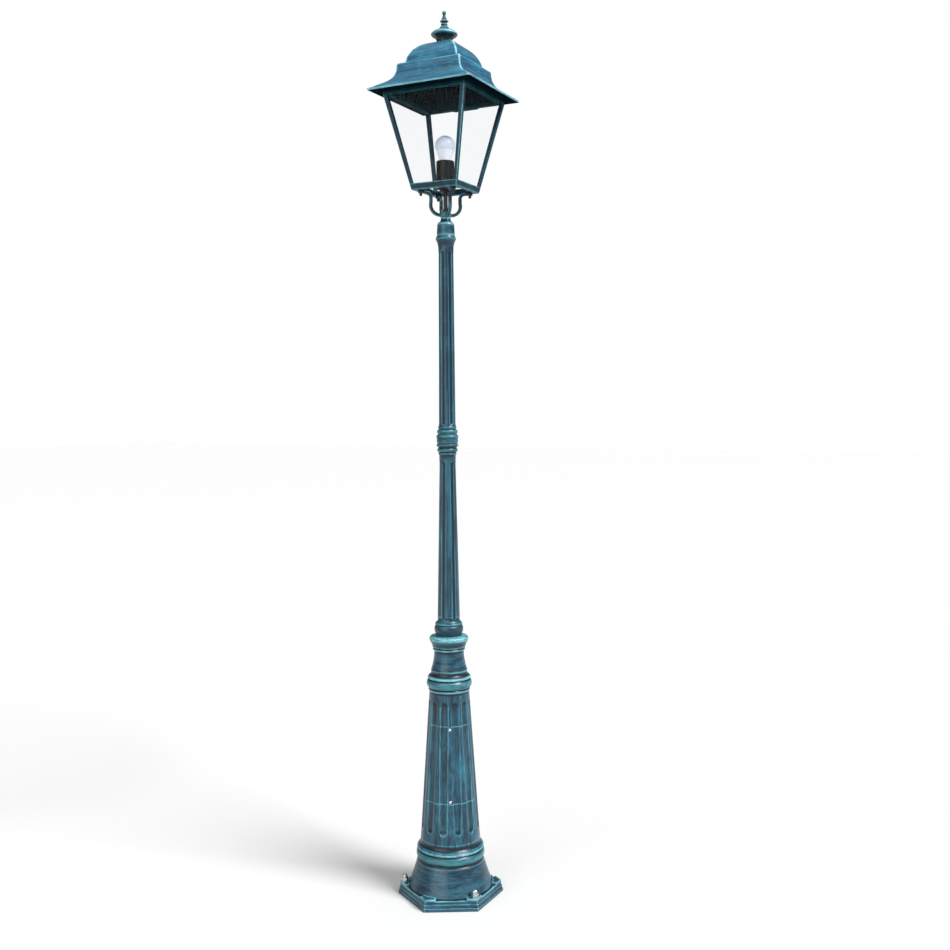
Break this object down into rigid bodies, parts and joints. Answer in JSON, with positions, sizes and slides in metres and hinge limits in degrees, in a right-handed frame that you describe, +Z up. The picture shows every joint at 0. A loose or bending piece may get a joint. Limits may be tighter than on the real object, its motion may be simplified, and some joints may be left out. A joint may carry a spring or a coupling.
{
  "type": "street lamp post",
  "caption": "Cast lamp post with a hexagonal base, fluted tapering poles and a square glazed lantern under a hipped roof that swings open on a back hinge.",
  "frame": {"origin": "on the ground at the middle of the hexagonal base", "axes": "+Z up the poles to the finial; the lantern sides face +X, -X, +Y and -Y, with the roof hinge at +Y; the base and poles are turned 28.5 degrees about Z"},
  "size_m": [0.3372, 0.3372, 2.69],
  "materials": {
    "antique_paint": "dark blue-teal paint with brushed verdigris highlights, semi-gloss",
    "dark_paint": "dark teal paint, semi-gloss",
    "bright_steel": "bright zinc-plated steel",
    "zinc_sheet": "galvanised sheet",
    "dark_steel": "blackened steel",
    "brass": "plain brass",
    "terminal_plastic": "ivory moulded plastic",
    "clear_glass": "clear polished glass",
    "holder_black": "black moulded plastic, satin",
    "holder_ceramic": "glazed white ceramic",
    "lamp_metal": "nickel-plated lamp cap",
    "lamp_white": "white moulded plastic",
    "lamp_opal": "opal diffuser, satin",
    "cable_sheath": "black rubber sheath"
  },
  "bodies": {
    "post": {"base_post": "antique_paint", "access_door": "antique_paint", "door_screws": "bright_steel", "anchor_washers": "bright_steel", "anchor_cap_nuts": "bright_steel", "terminal_plate": "zinc_sheet", "terminal_plate_screws": "bright_steel", "terminal_block": "terminal_plastic", "terminal_clamp_screws": "brass", "earth_screw": "brass", "lower_pole": "antique_paint", "pole_lock_nut": "bright_steel", "upper_pole": "antique_paint", "joint_set_screws": "dark_steel", "pole_cap": "antique_paint", "cap_set_screws": "dark_steel", "lantern_spider": "dark_paint", "stem_tube": "dark_steel", "stem_nuts": "dark_steel", "bottom_frame": "antique_paint", "frame_screws": "dark_steel", "frame_nuts": "dark_steel", "lampholder_bar": "dark_steel", "corner_post_front_left": "antique_paint", "corner_post_front_right": "antique_paint", "corner_post_back_left": "antique_paint", "corner_post_back_right": "antique_paint", "glass_front": "clear_glass", "glass_back": "clear_glass", "glass_left": "clear_glass", "glass_right": "clear_glass", "top_frame": "antique_paint", "top_frame_screws": "bright_steel", "roof_catch": "bright_steel", "roof_catch_screw": "bright_steel", "hinge_pin": "bright_steel", "lampholder_housing": "holder_black", "lampholder_insert": "holder_ceramic", "lampholder_shell": "brass", "centre_contact": "brass", "lamp_cap": "lamp_metal", "lamp_collar": "lamp_white", "lamp_globe": "lamp_opal", "lamp_cable": "cable_sheath"},
    "roof": {"roof_skirt": "antique_paint", "roof_strap": "dark_steel", "strap_screws": "bright_steel", "roof_dome": "antique_paint", "vent_cap": "antique_paint", "finial": "antique_paint", "finial_rod": "bright_steel", "rod_nut": "bright_steel"}
  },
  "joints": [
    {"name": "roof_hinge", "type": "hinge", "parent": "post", "child": "roof", "pos_m": [0, 0.1415, 2.436], "axis": [-1, 0, 0], "range_deg": [0, 95]}
  ]
}
